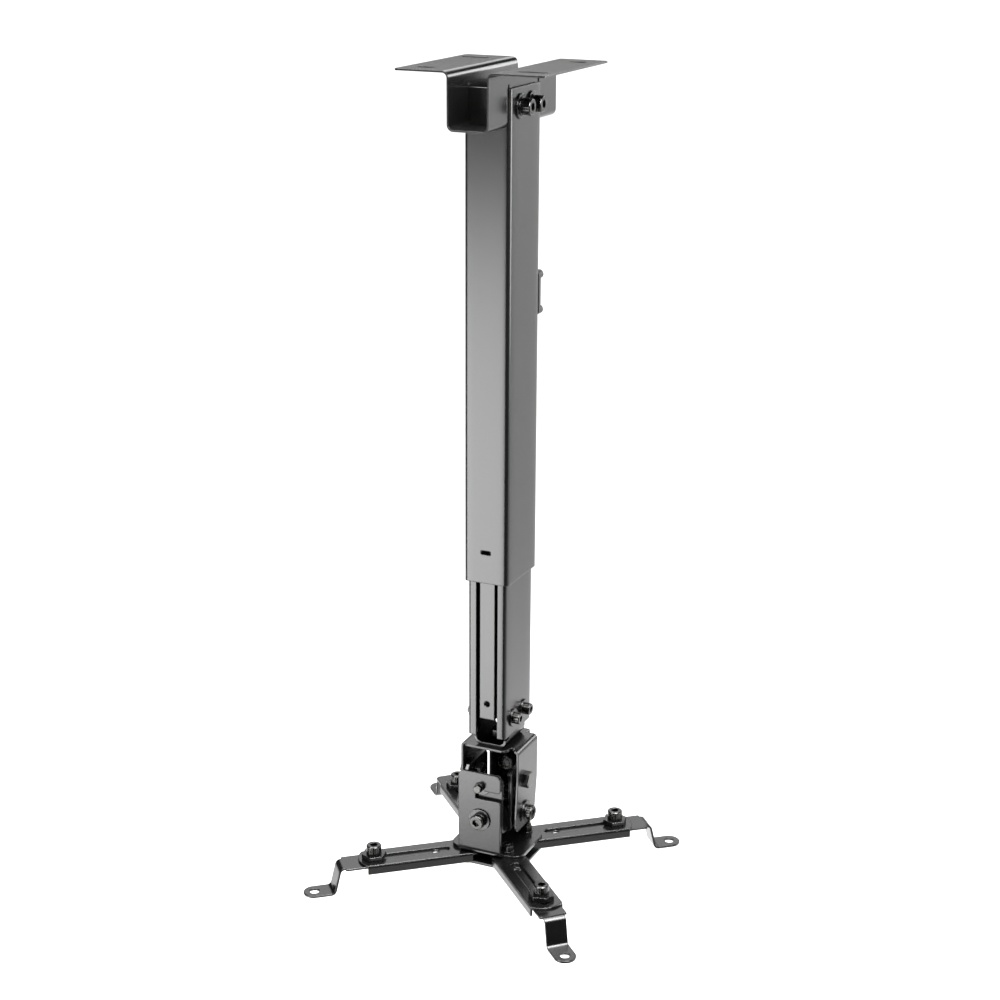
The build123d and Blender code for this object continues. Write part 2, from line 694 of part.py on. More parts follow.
# Roll pivot: plain pins with a hexagonal end, on which the lower yoke's hooks hang
pin_round_end = lower_half_depth + roll_pin_round
with BuildPart() as roll_pin_shape:
    with BuildSketch(Plane.XY.offset(block_half_depth)):
        Circle(roll_pin / 2)
    extrude(amount=pin_round_end - block_half_depth)
    with BuildSketch(Plane.XY.offset(pin_round_end)):
        RegularPolygon(roll_pin_across_flats / 2, 6, major_radius=False)
    extrude(amount=roll_pin_stand - roll_pin_round)
    chamfer(roll_pin_shape.faces().sort_by(Axis.Z)[-1].edges(), length=roll_pin / 16)
    with BuildSketch(Plane.XY.offset(block_half_depth)):
        Circle(m8 / 2)
    extrude(amount=-block_sheet - m8_nut_height)
roll_pin_places = [facing(roll_x, head_y, pivot_z, (0, side, 0)) for side in (-1, 1)]
finish(group(roll_pin_shape.part, roll_pin_places), "roll_pins")

# Roll lock: low socket screws, spring rings and large washers over the lower yoke's arc slots
lower_to_nut = lower_half_depth - block_inner_y + m8_nut_height
roll_lock = cap_screw(m8, m8_head, m8_low_head_height, m8_socket, lock_stack + lower_to_nut)


def roll_places(away):
    """Places in front and behind, at a distance from the head's middle, looking away from it."""
    return [facing(roll_x, head_y + side * away, lock_z, (0, side, 0)) for side in (-1, 1)]


finish(group(roll_lock, roll_places(lower_half_depth + lock_stack)), "roll_lock_screws")
finish(group(spring_ring, roll_places(lower_half_depth + washer_sheet)), "roll_lock_rings")
finish(group(lock_washer, roll_places(lower_half_depth)), "roll_lock_washers")

# Lower yoke: base with a folded plate in front and behind, each with a hook and an arc slot
plate_points = [
    (head_y - lower_half_depth, lower_top),
    (head_y - lower_half_depth, base_underside),
    (head_y + lower_half_depth, base_underside),
    (head_y + lower_half_depth, lower_top),
]
plate_profile = sheet_section(Plane.YZ, plate_points, lower_bend + lower_sheet, lower_sheet, Side.LEFT)
pin_seat = roll_pin / 2 + hook_pin_play
plate_width = lower_right - lower_left
pivot_places = [(side_x * pivot_x, head_y + side_y * pivot_y) for side_x, side_y in leg_sides]
roll_lock_arc = CenterArc((roll_x, pivot_z), lock_drop, -90 - lock_swing, 2 * lock_swing)
with BuildPart() as lower_yoke:
    with BuildPart(mode=Mode.PRIVATE) as lower_plates:
        extrude(plate_profile, amount=base_half_width, both=True)
        with BuildSketch(Plane.XZ):
            with Locations((lower_left, base_underside)):
                Rectangle(plate_width, 2 * (lower_top - base_underside), align=(Align.MIN, Align.CENTER))
        extrude(amount=2 * lower_half_depth, both=True, mode=Mode.INTERSECT)
        plate_corners = lower_plates.edges().filter_by(Axis.Y).group_by(Axis.Z)[-1]
        fillet(plate_corners, radius=lower_corner)
    add(lower_plates.part)
    with BuildSketch(Plane.XY.offset(base_underside)):
        with Locations((0, head_y)):
            RectangleRounded(2 * base_half_width, 2 * base_half_depth, base_corner)
    extrude(amount=lower_sheet)
    with BuildSketch(Plane.XZ) as hook:
        with Locations((roll_x - pin_seat, hook_entry_z)):
            Rectangle(2 * base_half_width, hook_height, align=(Align.MIN, Align.CENTER))
        with Locations((roll_x, hook_entry_z)):
            Rectangle(2 * pin_seat, pivot_z - hook_entry_z, align=(Align.CENTER, Align.MIN))
        with Locations((roll_x, pivot_z)):
            Circle(pin_seat)
        SlotArc(roll_lock_arc, lock_slot_width)
    extrude(amount=2 * lower_half_depth, both=True, mode=Mode.SUBTRACT)
    side_edges = lower_yoke.edges().filter_by(Axis.Y).filter_by(lambda e: abs(e.center().X - lower_right) < 0.01)
    mouth_edges = side_edges.filter_by(lambda e: abs(e.center().Z - hook_entry_z) < hook_height)
    fillet(mouth_edges, radius=hook_mouth)
    with BuildSketch(Plane.XY.offset(base_underside)):
        with Locations(*pivot_places):
            Circle((m6 + bolt_play) / 2)
    extrude(amount=lower_sheet, mode=Mode.SUBTRACT)
finish(lower_yoke.part, "lower_yoke")

# Plate under the arms
with BuildPart() as under_plate:
    with BuildSketch(Plane.XY.offset(arm_underside - under_sheet)):
        with Locations((0, head_y)):
            RectangleRounded(2 * under_half_width, 2 * under_half_depth, under_corner)
        with Locations(*pivot_places):
            Circle((m6 + bolt_play) / 2, mode=Mode.SUBTRACT)
    extrude(amount=under_sheet)
finish(under_plate.part, "under_plate")

# Arm pivots: screws from below through plate, arm and base, with washers and nuts on the base
pivot_grip = under_sheet + arm_height + lower_sheet
pivot_shank = pivot_grip + washer_sheet + m6_nut_height + thread_end / 2
pivot_screw = hex_screw(m6, m6_across_flats, m6_hex_head_height, pivot_shank)
under_face = arm_underside - under_sheet
pivot_screw_places = [facing(x, y, under_face, (0, 0, -1)) for x, y in pivot_places]
finish(group(pivot_screw, pivot_screw_places), "arm_pivot_screws")
pivot_washer = washer(m6 + bolt_play, m6_head + 2.0, washer_sheet)
finish(group(pivot_washer, [facing(x, y, base_top, (0, 0, 1)) for x, y in pivot_places]), "arm_pivot_washers")
pivot_nut = hex_nut(m6 + thread_gap, m6_across_flats, m6_nut_height)
pivot_nut_z = base_top + washer_sheet
finish(group(pivot_nut, [facing(x, y, pivot_nut_z, (0, 0, 1)) for x, y in pivot_places]), "arm_pivot_nuts")


# Arm: a channel open below, round at its pivot, with a long slot along its top
def make_arm(leg_plane):
    """One arm in its own plane: the pivot at the plane's origin, the arm along its X."""
    half = arm_width / 2
    across = Plane(origin=leg_plane.origin, x_dir=leg_plane.y_dir, z_dir=leg_plane.x_dir)
    points = [(-half, -arm_height), (-half, 0), (half, 0), (half, -arm_height)]
    profile = sheet_section(across, points, arm_bend + arm_sheet, arm_sheet, Side.RIGHT)
    with BuildPart() as arm:
        extrude(profile, amount=arm_length)
        with BuildSketch(leg_plane):
            Circle(half)
            flat = half - arm_bend
            with BuildLine():
                Line((0, -flat), (arm_length, -flat))
                ThreePointArc((arm_length, -flat), (arm_length + arm_nose, 0), (arm_length, flat))
                Line((arm_length, flat), (0, flat))
                Line((0, flat), (0, -flat))
            make_face()
        extrude(amount=-arm_sheet)
        with BuildSketch(leg_plane):
            Circle((m6 + pivot_play) / 2)
            with Locations(((arm_slot_start + arm_slot_end) / 2, 0)):
                SlotOverall(arm_slot_end - arm_slot_start, arm_slot_width)
        extrude(amount=-arm_sheet, mode=Mode.SUBTRACT)
    return arm.part


# Foot: a flat strip inside the arm, folded down and out again to a round eye
def make_foot(leg_plane, reach):
    """One foot: its screw stands at the given reach from the arm's pivot."""
    along = Plane(origin=leg_plane.origin, x_dir=leg_plane.x_dir, z_dir=-leg_plane.y_dir)
    strip_half = arm_width / 2 - arm_sheet - foot_side_play
    start = reach - foot_inner_length
    shoulder = reach + foot_shoulder
    fold = reach + foot_fold
    hole = reach + foot_hole_reach
    tab_half = foot_tab_width / 2
    points = [
        (start, -arm_sheet),
        (fold, -arm_sheet),
        (fold + foot_slant, -arm_sheet - foot_drop),
        (hole + tab_half, -arm_sheet - foot_drop),
    ]
    radii = (foot_bend_radius + foot_strip_sheet, foot_bend_radius)
    profile = sheet_section(along, points, radii, foot_strip_sheet, Side.RIGHT)
    depth = foot_drop + 2 * foot_strip_sheet + arm_sheet
    with BuildPart() as foot:
        extrude(profile, amount=strip_half, both=True)
        with BuildSketch(leg_plane):
            with Locations((start, 0)):
                Rectangle(shoulder - start, 2 * strip_half, align=(Align.MIN, Align.CENTER))
            with Locations((shoulder, 0)):
                Rectangle(hole - shoulder, foot_tab_width, align=(Align.MIN, Align.CENTER))
            with Locations((hole, 0)):
                Circle(tab_half)
        extrude(amount=-depth, mode=Mode.INTERSECT)
        with BuildSketch(leg_plane):
            with Locations((start + foot_eye_inset, 0)):
                Circle(foot_eye / 2)
            with Locations((reach, 0)):
                Circle((m8 + thread_gap) / 2)
            with Locations((hole, 0)):
                Circle(foot_hole / 2)
        extrude(amount=-depth, mode=Mode.SUBTRACT)
    return foot.part


foot_stack_height = collar_height + arm_sheet + foot_strip_sheet + foot_nut_height
clamp_screw = cap_screw(m8, m8_head, m8, m8_socket, foot_stack_height + foot_screw_pitch_out)
collar = hex_nut(m8 + bolt_play, collar_across_flats, collar_height)
thin_nut = hex_nut(m8 + thread_gap, m8_across_flats, foot_nut_height)
for name, side, angle, reach in zip(leg_names, leg_sides, leg_angles, leg_reaches):
    direction = (cos(radians(angle)), sin(radians(angle)), 0)
    pivot = (side[0] * pivot_x, head_y + side[1] * pivot_y, base_underside)
    leg_plane = Plane(origin=pivot, x_dir=direction, z_dir=(0, 0, 1))
    finish(make_arm(leg_plane), "arm_" + name)
    finish(make_foot(leg_plane, reach), "foot_" + name)
    screw_x = pivot[0] + reach * direction[0]
    screw_y = pivot[1] + reach * direction[1]
    screw_plane = Plane(origin=(screw_x, screw_y, base_underside), x_dir=direction, z_dir=(0, 0, 1))
    head_place = screw_plane.offset(collar_height).location
    finish(group(clamp_screw, [head_place]), "foot_screw_" + name)
    finish(group(collar, [screw_plane.location]), "foot_collar_" + name)
    nut_place = screw_plane.offset(-arm_sheet - foot_strip_sheet - foot_nut_height).location
    finish(group(thin_nut, [nut_place]), "foot_nut_" + name)
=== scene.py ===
# %% [markdown]
# # A telescopic projector mount in black powder-coated steel
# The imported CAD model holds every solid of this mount: a folded ceiling bracket, two tubes that slide in each other,
# a head of three folded cages, and four arms with feet. This lesson dresses those solids: it sets the camera,
# makes one material for each real finish, softens the sheet's edges, adds the knurling round the screw heads,
# and lights it like a product photograph on white.

# %% Load the CAD frame
import json
import math

import bmesh
import bpy
from mathutils import Matrix, Vector


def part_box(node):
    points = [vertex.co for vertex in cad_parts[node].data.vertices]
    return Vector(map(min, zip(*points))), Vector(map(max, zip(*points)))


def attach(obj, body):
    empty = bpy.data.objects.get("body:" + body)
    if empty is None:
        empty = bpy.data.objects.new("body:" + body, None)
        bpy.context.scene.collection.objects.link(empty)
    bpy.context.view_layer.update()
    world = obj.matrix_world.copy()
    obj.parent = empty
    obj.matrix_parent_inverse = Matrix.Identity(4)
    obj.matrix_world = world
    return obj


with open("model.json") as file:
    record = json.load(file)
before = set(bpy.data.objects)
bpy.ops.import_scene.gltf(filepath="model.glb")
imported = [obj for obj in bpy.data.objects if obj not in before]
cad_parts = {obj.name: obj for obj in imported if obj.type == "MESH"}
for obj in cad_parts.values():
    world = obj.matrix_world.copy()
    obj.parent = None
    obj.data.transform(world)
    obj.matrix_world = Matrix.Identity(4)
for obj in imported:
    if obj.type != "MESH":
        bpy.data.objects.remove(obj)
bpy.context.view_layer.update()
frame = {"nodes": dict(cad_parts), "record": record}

MM = 0.001
scene = bpy.context.scene
nodes = frame["nodes"]
print("CAD nodes:", len(nodes))

# %% [markdown]
# ## The camera
# A product photograph of a long object is taken from far away with a long lens, so that upright edges stay nearly
# parallel. The camera here stands 1.6 m away, a little to the right and above, and looks down by 18 degrees.
# A camera can be aimed with a constraint, but turning it by three plain angles keeps the picture's small tilt:
# first the tilt about the line of sight, then the look down, then the turn to the left.

# %% Place the camera
CAMERA_PLACE = (0.6464, -1.4400, 0.1536)
TURN_LEFT, LOOK_DOWN, TILT = 24.20, 17.99, 0.31
camera_data = bpy.data.cameras.new("photo_camera")
camera_data.lens = 71.14
camera_data.sensor_width = 36.0
camera = bpy.data.objects.new("photo_camera", camera_data)
turn_left = Matrix.Rotation(math.radians(TURN_LEFT), 4, "Z")
look_down = Matrix.Rotation(math.radians(90 - LOOK_DOWN), 4, "X")
tilt = Matrix.Rotation(math.radians(TILT), 4, "Z")
camera.matrix_world = Matrix.Translation(CAMERA_PLACE) @ turn_left @ look_down @ tilt
scene.collection.objects.link(camera)
scene.camera = camera
print("camera lens", camera_data.lens, "mm")

# %% [markdown]
# ## Two small helpers for materials
# Colours are easiest to pick as sRGB hex values, but shaders count in linear light, so one function converts them.
# A second one adds a node to a material, with its settings and the links into it, which keeps each recipe readable
# from top to bottom.

# %% Colour and node helpers
def linear(hex_colour):
    """An sRGB hex colour, such as '#050505', as linear red, green, blue and alpha."""
    channels = [int(hex_colour[i:i + 2], 16) / 255 for i in (1, 3, 5)]
    return [c / 12.92 if c <= 0.04045 else ((c + 0.055) / 1.055) ** 2.4 for c in channels] + [1.0]


def add_node(material, kind, inputs=None, **settings):
    """Add one shader node. Each input is given a number, a colour or another node's output to link."""
    tree = material.node_tree
    node = tree.nodes.new(kind)
    for name, value in settings.items():
        setattr(node, name, value)
    for name, value in (inputs or {}).items():
        if isinstance(value, bpy.types.NodeSocket):
            tree.links.new(value, node.inputs[name])
        else:
            node.inputs[name].default_value = value
    return node


def new_material(name):
    """A material with an empty node tree."""
    material = bpy.data.materials.new(name)
    material.use_nodes = True
    material.node_tree.nodes.clear()
    return material


BLACK = "#050505"
print("black in linear light:", [round(c, 4) for c in linear(BLACK)[:3]])

# %% [markdown]
# ## Black powder coat
# The sheet and the tubes are steel with a black satin powder coat. Powder is sprayed on dry and melts in an oven,
# and as it flows it leaves a faint orange peel: soft waves about 3 mm apart and only a few thousandths of
# a millimetre high. Between them lies a finer grain, drawn at 1.2 mm, which is twice as coarse as it is, to show.
# The eye sees a black that is bright where a lamp or a white wall is mirrored, with a blurred, slightly broken edge
# to that reflection. So the colour is nearly black, and the roughness and the bumps do the work. Polyester powder
# has an IOR of about 1.5.
#
# A rolled tube's faces aren't quite flat either. Near its corners they begin to turn before the round itself, which
# is why a lamp's reflection fades out over the last 8 mm of a face. That is drawn as a third bump on the tubes:
# its height falls with the eighth power of the distance from the tube's middle, so the face stays flat in between.
# The same power tells inside from outside: it is under 0.9 only on the tube's inner faces. There the coat becomes a
# dull metal of the nearly black base colour, which mirrors almost nothing: painted shade for the dark inside of the
# tube.
#
# The coat also pulls round every edge in a soft round of 0.2 to 1.5 mm, which mirrors a lamp as a thin bright line.
# A bevel node turns the shading there without any new faces, and the bumps build on it.

# %% Make the powder coat
PEEL_SPACING, GRAIN_SPACING = 3.0 * MM, 1.2 * MM
POWDER_IOR = 1.5
# Roughness of the tubes' inner faces, which carry painted shade.
SHADED_INSIDE_ROUGHNESS = 0.85
INSIDE, OUTSIDE = 0.88, 0.92


def powder_coat(name, roughness, edge_round, bump_height, tube=None, turn=0.0):
    """Satin black powder on steel. Sizes are in metres, and turn is how far a tube's face falls at its corners."""
    material = new_material(name)
    place = add_node(material, "ShaderNodeTexCoord")
    peel = add_node(material, "ShaderNodeTexNoise",
                    {"Vector": place.outputs["Object"], "Scale": 1 / PEEL_SPACING, "Detail": 1.0, "Roughness": 0.4})
    grain = add_node(material, "ShaderNodeTexNoise",
                     {"Vector": place.outputs["Object"], "Scale": 1 / GRAIN_SPACING, "Detail": 2.0, "Roughness": 0.6})
    gloss, painted_inside_shade = roughness, 0.0
    bumps = add_node(material, "ShaderNodeBevel", {"Radius": edge_round}, samples=6)
    bumps = add_node(material, "ShaderNodeBump",
                     {"Height": peel.outputs["Fac"], "Distance": bump_height, "Strength": 1.0,
                      "Normal": bumps.outputs["Normal"]})
    bumps = add_node(material, "ShaderNodeBump",
                     {"Height": grain.outputs["Fac"], "Distance": bump_height, "Strength": 1.0,
                      "Normal": bumps.outputs["Normal"]})
    if tube:
        low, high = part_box(tube)
        middle = [(a + b) / 2 for a, b in zip(low, high)]
        to_unit = [2 / (b - a) for a, b in zip(low, high)]
        power = add_node(material, "ShaderNodeVectorMath", {0: place.outputs["Object"], 1: middle},
                         operation="SUBTRACT")
        power = add_node(material, "ShaderNodeVectorMath",
                         {0: power.outputs["Vector"], 1: (to_unit[0], to_unit[1], 0.0)}, operation="MULTIPLY")
        for _ in range(3):
            power = add_node(material, "ShaderNodeVectorMath",
                             {0: power.outputs["Vector"], 1: power.outputs["Vector"]}, operation="MULTIPLY")
        fall = add_node(material, "ShaderNodeVectorMath",
                        {0: power.outputs["Vector"], 1: (1.0, 1.0, 0.0)}, operation="DOT_PRODUCT")
        bumps = add_node(material, "ShaderNodeBump",
                         {"Height": fall.outputs["Value"], "Distance": turn, "Strength": 1.0,
                          "Normal": bumps.outputs["Normal"]}, invert=True)
        gloss = add_node(material, "ShaderNodeMapRange",
                         {"Value": fall.outputs["Value"], "From Min": INSIDE, "From Max": OUTSIDE,
                          "To Min": SHADED_INSIDE_ROUGHNESS, "To Max": roughness}).outputs["Result"]
        # Painted shade: on a tube's inner faces the metallic weight goes to 1, so the surface mirrors only its
        # near-black base colour and looks dark.
        painted_inside_shade = add_node(material, "ShaderNodeMapRange",
                        {"Value": fall.outputs["Value"], "From Min": INSIDE, "From Max": OUTSIDE,
                         "To Min": 1.0, "To Max": 0.0}).outputs["Result"]
    surface = add_node(material, "ShaderNodeBsdfPrincipled",
                       {"Base Color": linear(BLACK), "Roughness": gloss, "Metallic": painted_inside_shade,
                        "Normal": bumps.outputs["Normal"], "IOR": POWDER_IOR})
    add_node(material, "ShaderNodeOutputMaterial", {"Surface": surface.outputs["BSDF"]})
    return material


tube_coat = powder_coat("powder_coat_on_tube", 0.25, 1.0 * MM, 0.012 * MM, "outer_tube", 0.8 * MM)
inner_coat = powder_coat("powder_coat_on_inner_tube", 0.25, 0.8 * MM, 0.012 * MM, "inner_tube", 0.6 * MM)
foot_coat = powder_coat("powder_coat_on_tube_foot", 0.24, 0.8 * MM, 0.012 * MM, "tube_foot", 0.1 * MM)
sheet_coat = powder_coat("powder_coat_on_sheet", 0.24, 1.1 * MM, 0.014 * MM)
leg_coat = powder_coat("powder_coat_on_legs", 0.24, 1.5 * MM, 0.016 * MM)
bracket_coat = powder_coat("powder_coat_on_bracket", 0.24, 0.2 * MM, 0.014 * MM)
print("coats:", [m.name for m in (tube_coat, inner_coat, foot_coat, sheet_coat, leg_coat, bracket_coat)])

# %% [markdown]
# ## Blackened steel for screws, nuts and washers
# The screws are blackened by hot oxide, which only darkens the steel's own skin, so they keep a metal's deep gloss:
# black where they mirror the dark room, and white on every rim that catches a lamp. The nuts and washers have black
# zinc, a little greyer and duller. Both are metals here, with a dark colour that tints their reflections, and the
# default IOR. A light noise of 1.5 to 2 mm in the roughness stands for handling marks.

# %% Make the blackened steels
RIM_ROUND = 0.5 * MM
MARK_DEPTH = 0.006 * MM


def black_steel(name, colour, roughness, mark_size):
    """Blackened steel: mark_size is the real size of its handling marks in metres."""
    material = new_material(name)
    place = add_node(material, "ShaderNodeTexCoord")
    marks = add_node(material, "ShaderNodeTexNoise",
                     {"Vector": place.outputs["Object"], "Scale": 1 / mark_size, "Detail": 4.0, "Roughness": 0.65})
    polish = add_node(material, "ShaderNodeMapRange",
                      {"Value": marks.outputs["Fac"], "From Min": 0.3, "From Max": 0.7,
                       "To Min": roughness - 0.05, "To Max": roughness + 0.08})
    rim = add_node(material, "ShaderNodeBevel", {"Radius": RIM_ROUND}, samples=6)
    skin = add_node(material, "ShaderNodeBump",
                    {"Height": marks.outputs["Fac"], "Distance": MARK_DEPTH, "Strength": 1.0,
                     "Normal": rim.outputs["Normal"]})
    surface = add_node(material, "ShaderNodeBsdfPrincipled",
                       {"Base Color": linear(colour), "Metallic": 1.0, "Roughness": polish.outputs["Result"],
                        "Normal": skin.outputs["Normal"]})
    add_node(material, "ShaderNodeOutputMaterial", {"Surface": surface.outputs["BSDF"]})
    return material


oxide_screw = black_steel("black_oxide_screw", "#424241", 0.21, 1.5 * MM)
zinc_nut = black_steel("black_zinc_nut", "#444444", 0.26, 2.0 * MM)
print("steels:", oxide_screw.name, zinc_nut.name)

# %% [markdown]
# ## Moulded nylon
# The cable clip is a moulded nylon part: dark, a little lighter than the coat, and dull, with a fine spark-eroded
# grain of about 0.5 mm from the mould. Nylon has an IOR of 1.53.

# %% Make the nylon
NYLON_IOR = 1.53
SPARK_GRAIN = 0.5 * MM
clip_nylon = new_material("moulded_nylon")
nylon_place = add_node(clip_nylon, "ShaderNodeTexCoord")
nylon_grain = add_node(clip_nylon, "ShaderNodeTexNoise",
                       {"Vector": nylon_place.outputs["Object"], "Scale": 1 / SPARK_GRAIN, "Detail": 2.0})
nylon_bump = add_node(clip_nylon, "ShaderNodeBump",
                      {"Height": nylon_grain.outputs["Fac"], "Distance": 0.02 * MM, "Strength": 1.0})
nylon_surface = add_node(clip_nylon, "ShaderNodeBsdfPrincipled",
                         {"Base Color": linear("#060607"), "Roughness": 0.55, "IOR": NYLON_IOR,
                          "Normal": nylon_bump.outputs["Normal"]})
add_node(clip_nylon, "ShaderNodeOutputMaterial", {"Surface": nylon_surface.outputs["BSDF"]})
print("plastic:", clip_nylon.name)

# %% [markdown]
# ## Dress the CAD solids
# Each solid keeps its mesh and gets the finish of its real piece. CAD edges are perfectly sharp, and no real sheet
# is: the coat rounds every edge to a few tenths of a millimetre, and that thin round is what draws the bright lines
# in the photograph. A bevel modifier does that without touching the mesh. It needs some help before it. The imported
# mesh has a separate point for each face at an edge, so a weld modifier joins them. A flat wall is a fan of long thin
# triangles that meet at its screw holes, and the rounding draws thin lines along them, so a decimate modifier joins
# the flat ones. The last modifier weights each point's normal by the faces' areas, so that walls stay flat and the
# rounds take up the whole turn.

# %% Give each node its finish and its rounded edges
FINISH_OF = [("cable_clip", clip_nylon), ("tube_foot_", oxide_screw),
             ("nut", zinc_nut), ("washer", zinc_nut), ("ring", zinc_nut), ("spacer", zinc_nut), ("collar", zinc_nut),
             ("bolt", oxide_screw), ("screw", oxide_screw), ("pin", oxide_screw),
             ("inner_tube", inner_coat), ("outer_tube", tube_coat), ("tube_foot", foot_coat),
             ("arm_", leg_coat), ("foot_", leg_coat), ("ceiling_bracket", bracket_coat)]
STEEL_ROUND, LEG_ROUND, SHEET_ROUND = 0.25 * MM, 0.8 * MM, 0.4 * MM
WELD_REACH = 0.01 * MM
FLAT_ANGLE, SHARP_ANGLE = math.radians(0.5), math.radians(40)


def finish_of(name):
    """The material for a node: the first one whose word is in the node's name."""
    return next((material for word, material in FINISH_OF if word in name), sheet_coat)


def round_edges(piece, width):
    """Weld the mesh's split points, round its sharp edges and shade the large faces flat."""
    weld = piece.modifiers.new("weld", "WELD")
    weld.merge_threshold = WELD_REACH
    flats = piece.modifiers.new("join_flats", "DECIMATE")
    flats.decimate_type = "DISSOLVE"
    flats.angle_limit = FLAT_ANGLE
    bevel = piece.modifiers.new("round_edges", "BEVEL")
    bevel.width = width
    bevel.segments = 2
    bevel.limit_method = "ANGLE"
    bevel.angle_limit = SHARP_ANGLE
    shade = piece.modifiers.new("flat_walls", "WEIGHTED_NORMAL")
    shade.mode = "FACE_AREA"
    shade.weight = 80
    shade.keep_sharp = True


for name, piece in nodes.items():
    material = finish_of(name)
    for place in piece.material_slots:
        place.material = material
    if not piece.material_slots:
        piece.data.materials.append(material)
    if material in (oxide_screw, zinc_nut):
        round_edges(piece, STEEL_ROUND)
    else:
        round_edges(piece, LEG_ROUND if name.startswith(("arm_", "foot_")) else SHEET_ROUND)
print("dressed", len(nodes), "nodes")

# %% [markdown]
# ## Knurled screw heads
# A socket head screw is turned, and its head is rolled with fine straight ridges so that fingers can start it. They
# are real relief, and at the edge of a head they break its outline, so they are built as a thin ridged sleeve
# round each head. The real ridges stand 0.9 mm apart, which is less than a pixel here; they are drawn 1.5 mm apart.
# The screws of a pair share one node, so its mesh is first split into its separate solids, and each head is
# measured on its own: its middle, its radius and where it starts and ends along the screw.

# %% Find the heads in a node's mesh
def loose_solids(piece):
    """The points of each separate solid of a mesh, as lists of vectors."""
    bm = bmesh.new()
    bm.from_mesh(piece.data)
    bmesh.ops.remove_doubles(bm, verts=bm.verts, dist=WELD_REACH)
    waiting, solids = set(bm.verts), []
    while waiting:
        reach, solid = [waiting.pop()], []
        while reach:
            point = reach.pop()
            solid.append(point.co.copy())
            for edge in point.link_edges:
                other = edge.other_vert(point)
                if other in waiting:
                    waiting.discard(other)
                    reach.append(other)
        solids.append(solid)
    bm.free()
    return solids


def head_of(points, axis):
    """The middle, radius and extent of a screw's head: the widest part of a solid that was turned round an axis."""
    middle = Vector([(min(p[i] for p in points) + max(p[i] for p in points)) / 2 for i in range(3)])
    middle[axis] = 0.0
    away = [(Vector([0.0 if i == axis else p[i] for i in range(3)]) - middle).length for p in points]
    radius = max(away)
    rim = [p[axis] for p, r in zip(points, away) if r > radius - 0.05 * MM]
    return middle, radius, min(rim), max(rim)


# %% Build a knurled sleeve
RIDGE_PITCH, RIDGE_HEIGHT, GROOVE_DEPTH = 1.5 * MM, 0.12 * MM, 0.05 * MM
HEAD_CHAMFER = 0.3 * MM


def knurled_sleeve(name, points, axis):
    """A thin sleeve of straight ridges round a screw's head, chamfered at both ends."""
    middle, radius, start, end = head_of(points, axis)
    count = round(2 * math.pi * radius / RIDGE_PITCH)
    mesh = bpy.data.meshes.new(name)
    bm = bmesh.new()
    turns = [(axis + 1) % 3, (axis + 2) % 3]
    rings = []
    for along, shrink in ((start, HEAD_CHAMFER), (start + HEAD_CHAMFER, 0.0),
                          (end - HEAD_CHAMFER, 0.0), (end, HEAD_CHAMFER)):
        ring = []
        for step in range(2 * count):
            angle = math.pi * step / count
            reach = radius - shrink + (RIDGE_HEIGHT if step % 2 else -GROOVE_DEPTH)
            place = middle.copy()
            place[axis] = along
            place[turns[0]] += reach * math.cos(angle)
            place[turns[1]] += reach * math.sin(angle)
            ring.append(bm.verts.new(place))
        rings.append(ring)
    for low, high in zip(rings, rings[1:]):
        for i in range(2 * count):
            j = (i + 1) % (2 * count)
            bm.faces.new((low[i], low[j], high[j], high[i]))
    bmesh.ops.recalc_face_normals(bm, faces=bm.faces)
    bm.to_mesh(mesh)
    bm.free()
    mesh.materials.append(oxide_screw)
    sleeve = bpy.data.objects.new(name, mesh)
    scene.collection.objects.link(sleeve)
    return sleeve


print("a ridge every", RIDGE_PITCH / MM, "mm, standing", RIDGE_HEIGHT / MM, "mm out")

# %% Knurl every socket head
BODY_OF = {node: body for body, names in frame["record"]["behaviour"]["bodies"].items() for node in names}
HEADS = [("top_bolts", 0), ("tube_foot_bolts", 0), ("tilt_lock_screws", 0), ("roll_lock_screws", 1)]
HEADS += [(name, 2) for name in nodes if name.startswith("foot_screw_")]
knurled = 0
for node, axis in HEADS:
    for number, points in enumerate(loose_solids(nodes[node]), 1):
        sleeve = knurled_sleeve("knurl_%s_%d" % (node, number), points, axis)
        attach(sleeve, BODY_OF[node])
        knurled += 1
print("knurled heads:", knurled)

# %% [markdown]
# ## The studio
# The mount hangs in front of a white sweep: a floor that curves up into a wall, so that no horizon shows. Black
# gloss shows nothing but what it mirrors, so the lamps are placed by reflection. The two panels low on the left are
# what the front faces mirror. The pale sweep and the two panels on the right are what the side faces mirror, and the
# panel high at the back is what the tops of the base and the arms mirror. The overhead, front and leg panels draw
# the bright lines along the folds, and the low panel on the right lifts the near sides of the arms. The room in
# front of the mount is dark, which is what makes its rounded corners black. The white surroundings light the mount
# softly and show behind it, but they are kept out of its reflections, as black cards round the set would do.

# %% Build the white sweep
BEND_STEPS = 12


def white_sweep(depth_back, depth_front, half_width, floor_z, rise, bend):
    """A floor that turns up into a wall through a quarter circle."""
    mesh = bpy.data.meshes.new("white_sweep")
    profile = [(-depth_front, floor_z), (depth_back - bend, floor_z)]
    for step in range(1, BEND_STEPS + 1):
        angle = math.radians(90 * step / BEND_STEPS)
        profile.append((depth_back - bend + bend * math.sin(angle), floor_z + bend - bend * math.cos(angle)))
    profile.append((depth_back, floor_z + rise))
    points = [(side * half_width, y, z) for y, z in profile for side in (-1, 1)]
    faces = [(2 * i, 2 * i + 1, 2 * i + 3, 2 * i + 2) for i in range(len(profile) - 1)]
    mesh.from_pydata(points, [], faces)
    for face in mesh.polygons:
        face.use_smooth = True
    sweep = bpy.data.objects.new("white_sweep", mesh)
    scene.collection.objects.link(sweep)
    return sweep


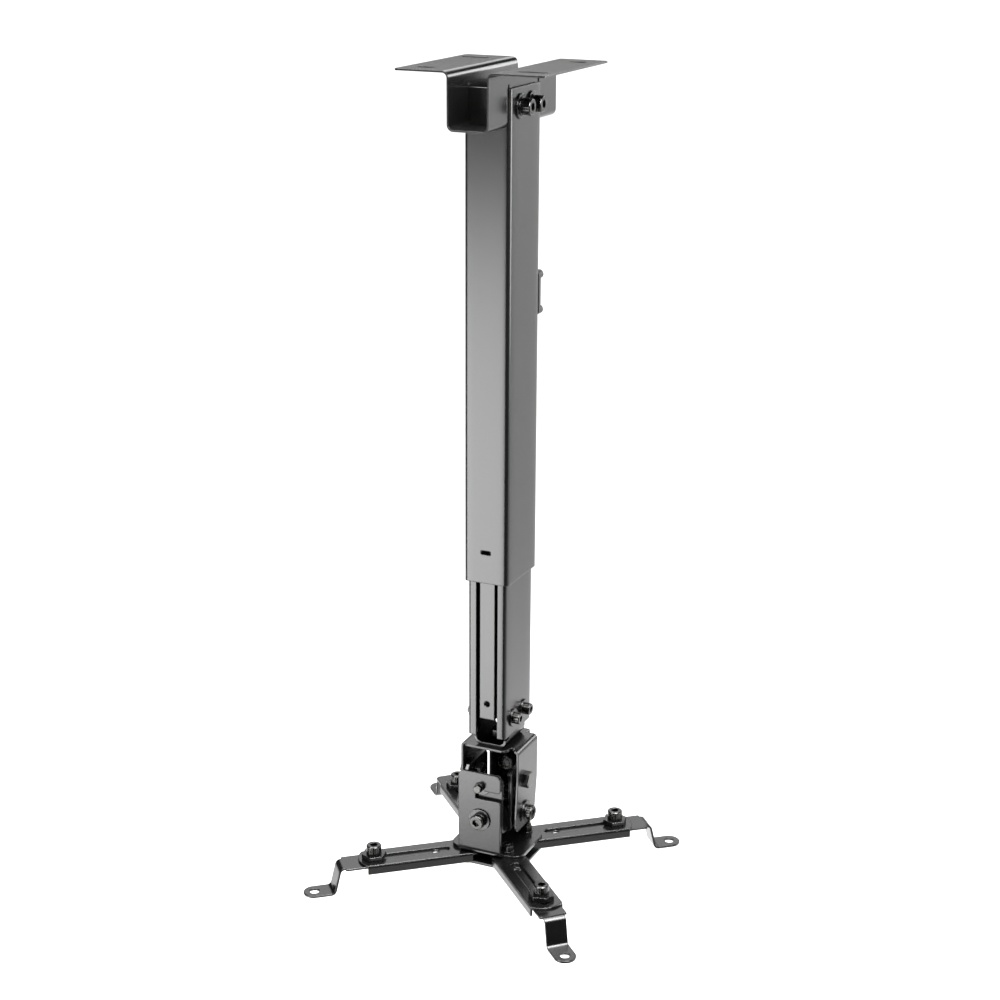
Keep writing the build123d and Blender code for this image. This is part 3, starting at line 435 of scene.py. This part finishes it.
sweep = white_sweep(depth_back=5.0, depth_front=0.3, half_width=8.0, floor_z=-1.60, rise=1.75, bend=1.5)
paper = new_material("white_paper")
paper_surface = add_node(paper, "ShaderNodeBsdfPrincipled",
                         {"Base Color": linear("#f4f4f4"), "Roughness": 0.9, "IOR": 1.3})
add_node(paper, "ShaderNodeOutputMaterial", {"Surface": paper_surface.outputs["BSDF"]})
sweep.data.materials.append(paper)
print("sweep:", len(sweep.data.polygons), "faces")


# %% Hang the lamps
def soft_panel(name, place, aim, size, radiance):
    """A rectangular soft light at a place, turned to a point, and hidden from the camera.

    Its radiance is given in the same measure as the world's strength, in which 1 shows as white.
    """
    lamp = bpy.data.lights.new(name, "AREA")
    lamp.shape = "RECTANGLE"
    lamp.size, lamp.size_y = size
    lamp.energy = radiance * math.pi * size[0] * size[1]
    panel = bpy.data.objects.new(name, lamp)
    direction = Vector(aim) - Vector(place)
    panel.matrix_world = Matrix.Translation(place) @ direction.to_track_quat("-Z", "Y").to_matrix().to_4x4()
    panel.visible_camera = False
    scene.collection.objects.link(panel)


WORLD_STRENGTH = 1.15
TUBE_END, ARMS = (0.0, 0.0, -0.42), (0.0, 0.0, -0.68)
world = bpy.data.worlds.new("studio")
scene.world = world
world.use_nodes = True
world.node_tree.nodes["Background"].inputs["Color"].default_value = (1.0, 1.0, 1.0, 1.0)
world.node_tree.nodes["Background"].inputs["Strength"].default_value = WORLD_STRENGTH
world.cycles_visibility.glossy = False
soft_panel("left_low_panel", (-0.91, -1.78, -1.02), TUBE_END, (0.85, 1.12), 12.0)
soft_panel("left_edge_panel", (-1.38, -1.49, -1.02), TUBE_END, (0.35, 1.12), 10.0)
soft_panel("right_panel", (1.99, 0.93, -0.34), (0.0, 0.0, -0.20), (1.10, 0.68), 13.0)
soft_panel("back_right_panel", (1.15, 2.20, 0.35), (0.0, 0.0, -0.40), (0.9, 0.9), 8.0)
soft_panel("overhead_panel", (-0.15, -0.10, 0.80), (-0.15, -0.10, -1.0), (1.3, 1.3), 14.0)
soft_panel("front_high_panel", (-0.65, -1.25, 0.95), (0.0, 0.0, -0.50), (1.0, 0.8), 14.0)
soft_panel("right_low_panel", (1.10, -0.74, -1.36), ARMS, (0.9, 0.6), 1.2)
soft_panel("leg_panel", (0.52, -0.30, 0.30), ARMS, (0.6, 0.6), 36.0)
soft_panel("back_panel", (-1.60, 2.90, 1.30), (0.0, 0.0, -0.60), (2.6, 1.2), 2.3)
scene.view_settings.view_transform = "Standard"
